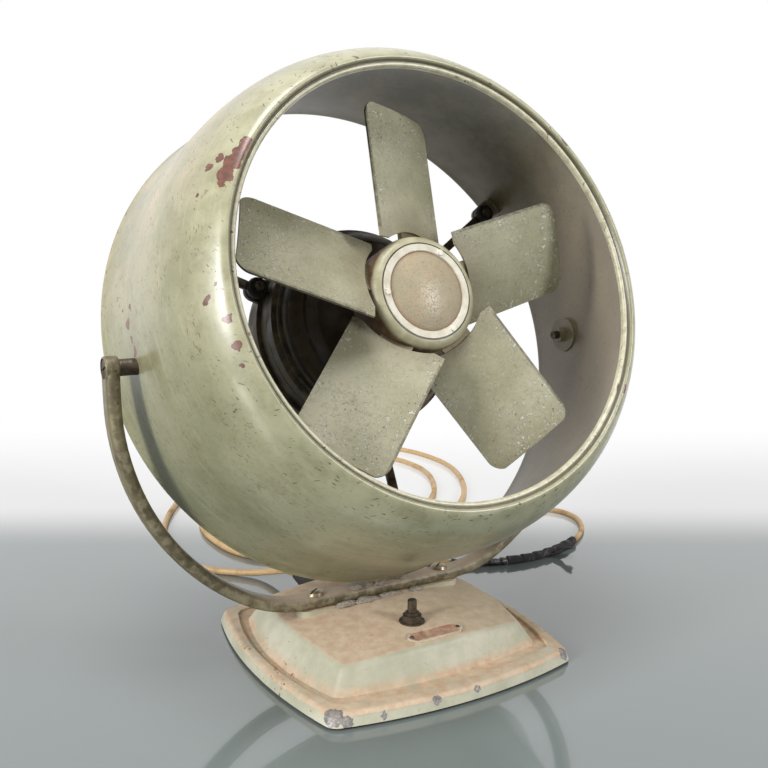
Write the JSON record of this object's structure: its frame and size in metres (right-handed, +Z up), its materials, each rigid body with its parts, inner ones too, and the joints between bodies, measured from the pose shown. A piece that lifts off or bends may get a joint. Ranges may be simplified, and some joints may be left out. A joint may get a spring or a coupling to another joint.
{
  "type": "ducted desk fan",
  "caption": "Desk fan: a motor on rubber-mounted struts turns a bladed propeller inside a spun drum, which tilts in a U-shaped yoke on a cast base.",
  "frame": {"origin": "centre of the base's flat underside, on the surface the fan stands on", "axes": "+Z up; +X along the tilt axis, to the right seen from the front; the air leaves towards -Y, and the nose is tilted up at rest"},
  "size_m": [0.5124, 0.6714, 0.4102],
  "materials": {
    "drum_paint": "worn satin",
    "yoke_paint": "worn satin",
    "base_paint": "worn satin",
    "blade_paint": "pitted satin",
    "hub_rust": "rusty matt",
    "ring_cream": "satin",
    "dome_tan": "matt",
    "motor_brown": "matt",
    "dark_steel": "dull",
    "bright_steel": "satin",
    "core_steel": "laminated",
    "winding_copper": "varnished",
    "bronze": "oiled",
    "plate_copper": "tarnished",
    "pin_brass": "satin",
    "black_rubber": "matt",
    "cord_tan": "aged",
    "moulded_brown": "moulded"
  },
  "bodies": {
    "base": {"base_casting": "base_paint", "bottom_cover": "dark_steel", "cover_screws": "dark_steel", "yoke": "yoke_paint", "yoke_screws": "bright_steel", "yoke_nuts": "dark_steel", "name_plate": "plate_copper", "plate_pins": "dark_steel", "switch_body": "moulded_brown", "switch_bush": "bright_steel", "switch_washer": "bright_steel", "switch_nut": "bright_steel", "cord_glands": "black_rubber", "supply_lead": "cord_tan", "supply_loops": "cord_tan", "supply_tail": "cord_tan", "plug_body": "moulded_brown", "plug_pins": "pin_brass", "motor_lead": "cord_tan"},
    "switch_spindle": {"switch_shaft": "dark_steel"},
    "head": {"drum": "drum_paint", "pivot_spacers": "black_rubber", "pivot_saddles": "dark_steel", "pivot_bolts": "dark_steel", "pivot_nuts": "dark_steel", "motor_front_shell": "motor_brown", "motor_rear_shell": "motor_brown", "motor_gland": "black_rubber", "stator_core": "core_steel", "stator_winding": "winding_copper", "front_bush": "bronze", "rear_bush": "bronze", "struts": "dark_steel", "strut_brackets": "dark_steel", "rubber_mounts": "black_rubber", "strut_bolts": "dark_steel"},
    "propeller": {"rotor": "core_steel", "motor_shaft": "bright_steel", "hub_spider": "blade_paint", "hub_cup": "hub_rust", "hub_ring": "ring_cream", "hub_dome": "dome_tan", "hub_screws": "bright_steel", "set_screw": "dark_steel", "blade_1": "blade_paint", "blade_2": "blade_paint", "blade_3": "blade_paint", "blade_4": "blade_paint", "blade_5": "blade_paint"}
  },
  "joints": [
    {"name": "head_tilt", "type": "hinge", "parent": "base", "child": "head", "pos_m": [0, 0.0115, 0.2135], "axis": [-1, 0, 0], "range_deg": [-35, 45], "deforming": ["motor_lead"]},
    {"name": "propeller_spin", "type": "hinge", "parent": "head", "child": "propeller", "pos_m": [0, 0.01821, 0.23138], "axis": [0, -0.9363, 0.3512], "continuous": true},
    {"name": "switch_turn", "type": "hinge", "parent": "base", "child": "switch_spindle", "pos_m": [-0.004, -0.041, 0.03], "axis": [0, 0, 1], "range_deg": [0, 90]}
  ]
}
